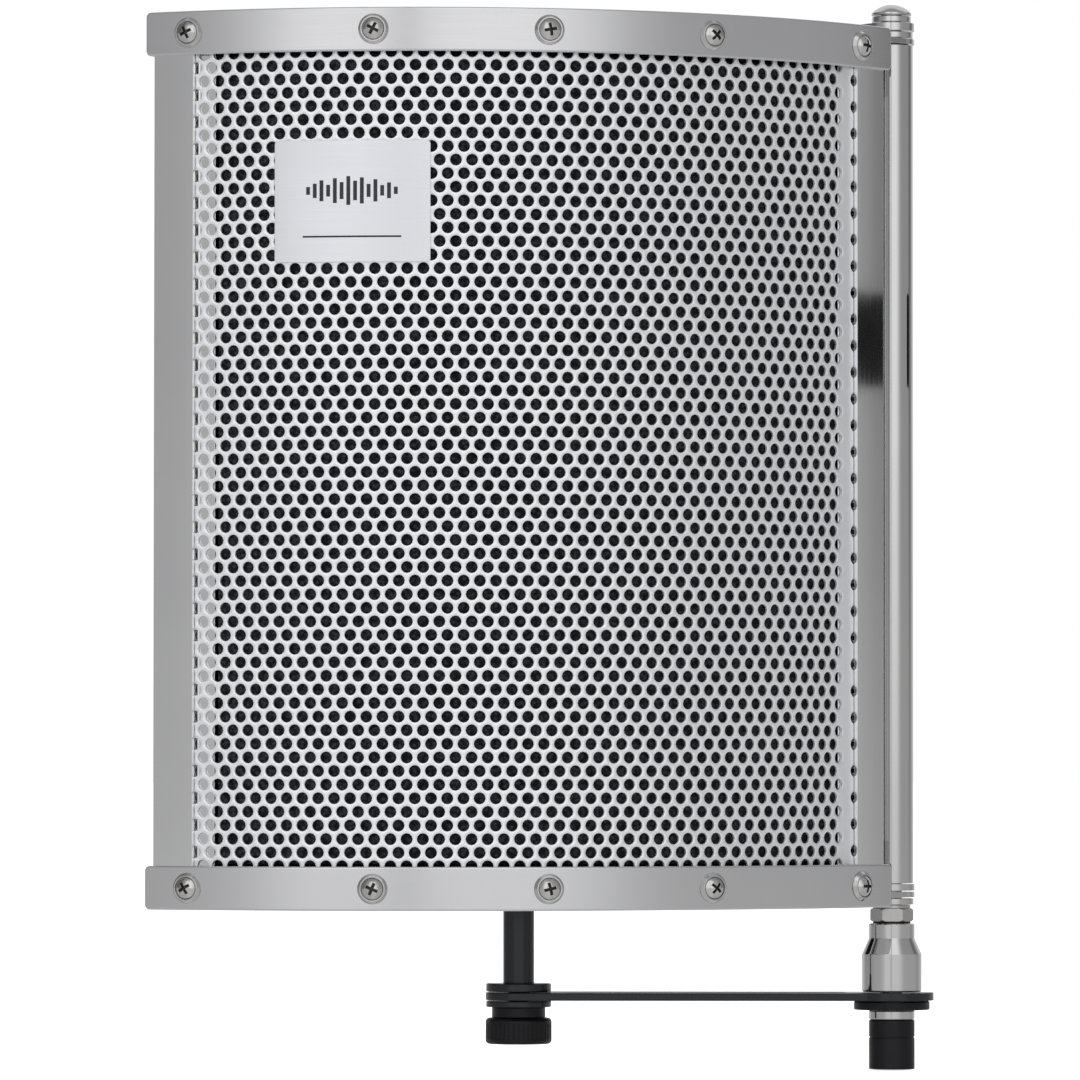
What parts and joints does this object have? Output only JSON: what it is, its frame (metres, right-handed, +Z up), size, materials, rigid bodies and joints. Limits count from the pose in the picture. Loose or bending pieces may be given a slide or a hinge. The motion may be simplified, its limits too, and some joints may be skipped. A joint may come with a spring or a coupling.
{
  "type": "microphone isolation shield",
  "caption": "Folding microphone isolation shield: curved perforated leaves lined with foam, hinged on a post that screws to a stand, with a slotted arm for the microphone.",
  "frame": {"origin": "on the post axis, at the bottom face of the stand socket", "axes": "+Z up along the post, -X along the mic arm, -Y towards the front leaf"},
  "size_m": [0.3061, 0.2332, 0.419],
  "materials": {
    "satin_aluminium": "satin anodised",
    "polished_aluminium": "polished",
    "sheet_aluminium": "semi-gloss",
    "label_metal": "brushed",
    "acoustic_foam": "open cell foam",
    "zinc_steel": "zinc plated",
    "bright_nickel": "nickel plated, polished",
    "satin_nickel": "nickel plated, satin",
    "chrome": "polished",
    "black_steel": "semi-gloss powder coat",
    "black_plastic": "matte"
  },
  "bodies": {
    "post": {"stand_socket": "black_plastic", "clamp_ring": "chrome", "tie_rod": "zinc_steel", "coupling": "chrome", "neck_washer": "black_plastic", "hex_nut": "satin_nickel", "lower_spacer": "satin_nickel", "lower_washer": "chrome", "hinge_sleeve": "chrome", "middle_washer": "chrome", "upper_washer": "chrome", "dome_nut": "chrome"},
    "lock_ring": {"lock_plate": "black_plastic"},
    "mic_arm_body": {"mic_arm": "black_steel"},
    "mic_carriage": {"carriage_flange": "black_steel", "mic_post": "black_steel", "mic_jam_nut": "black_steel", "mic_thread": "satin_nickel"},
    "clamp_knob_body": {"lower_flange": "black_steel", "knob_neck": "black_plastic", "clamp_knob": "black_plastic"},
    "front_leaf": {"front_bottom_clamp_strip": "zinc_steel", "front_bottom_lug": "chrome", "front_bottom_rail": "satin_aluminium", "front_cup_washers": "bright_nickel", "front_foam_pad": "acoustic_foam", "front_free_side_bar": "polished_aluminium", "front_hinge_side_bar": "polished_aluminium", "front_label_plate": "label_metal", "front_perforated_sheet": "sheet_aluminium", "front_rail_screws": "bright_nickel", "front_top_clamp_strip": "zinc_steel", "front_top_lug": "chrome", "front_top_rail": "satin_aluminium"},
    "rear_leaf": {"rear_bottom_clamp_strip": "zinc_steel", "rear_bottom_lug": "chrome", "rear_bottom_rail": "satin_aluminium", "rear_cup_washers": "bright_nickel", "rear_foam_pad": "acoustic_foam", "rear_free_side_bar": "polished_aluminium", "rear_hinge_side_bar": "polished_aluminium", "rear_perforated_sheet": "sheet_aluminium", "rear_rail_screws": "bright_nickel", "rear_top_clamp_strip": "zinc_steel", "rear_top_lug": "chrome", "rear_top_lug_rivets": "bright_nickel", "rear_top_rail": "satin_aluminium"}
  },
  "joints": [
    {"name": "front_leaf_hinge", "type": "hinge", "parent": "post", "child": "front_leaf", "pos_m": [0, 0, 0.236], "axis": [0, 0, 1], "range_deg": [-12, 76]},
    {"name": "rear_leaf_hinge", "type": "hinge", "parent": "post", "child": "rear_leaf", "pos_m": [0, 0, 0.236], "axis": [0, 0, -1], "range_deg": [-12, 76]},
    {"name": "arm_swivel", "type": "hinge", "parent": "post", "child": "mic_arm_body", "pos_m": [0, 0, 0.0285], "axis": [0, 0, 1], "range_deg": [-10, 10]},
    {"name": "carriage_slide", "type": "slide", "parent": "mic_arm_body", "child": "mic_carriage", "axis": [1, 0, 0], "range_m": [0, 0.08]},
    {"name": "clamp_knob_turn", "type": "hinge", "parent": "mic_carriage", "child": "clamp_knob_body", "pos_m": [-0.1467, 0, 0.015], "axis": [0, 0, 1], "continuous": true},
    {"name": "lock_ring_turn", "type": "hinge", "parent": "post", "child": "lock_ring", "pos_m": [0, 0, 0.025], "axis": [0, 0, 1], "continuous": true}
  ]
}
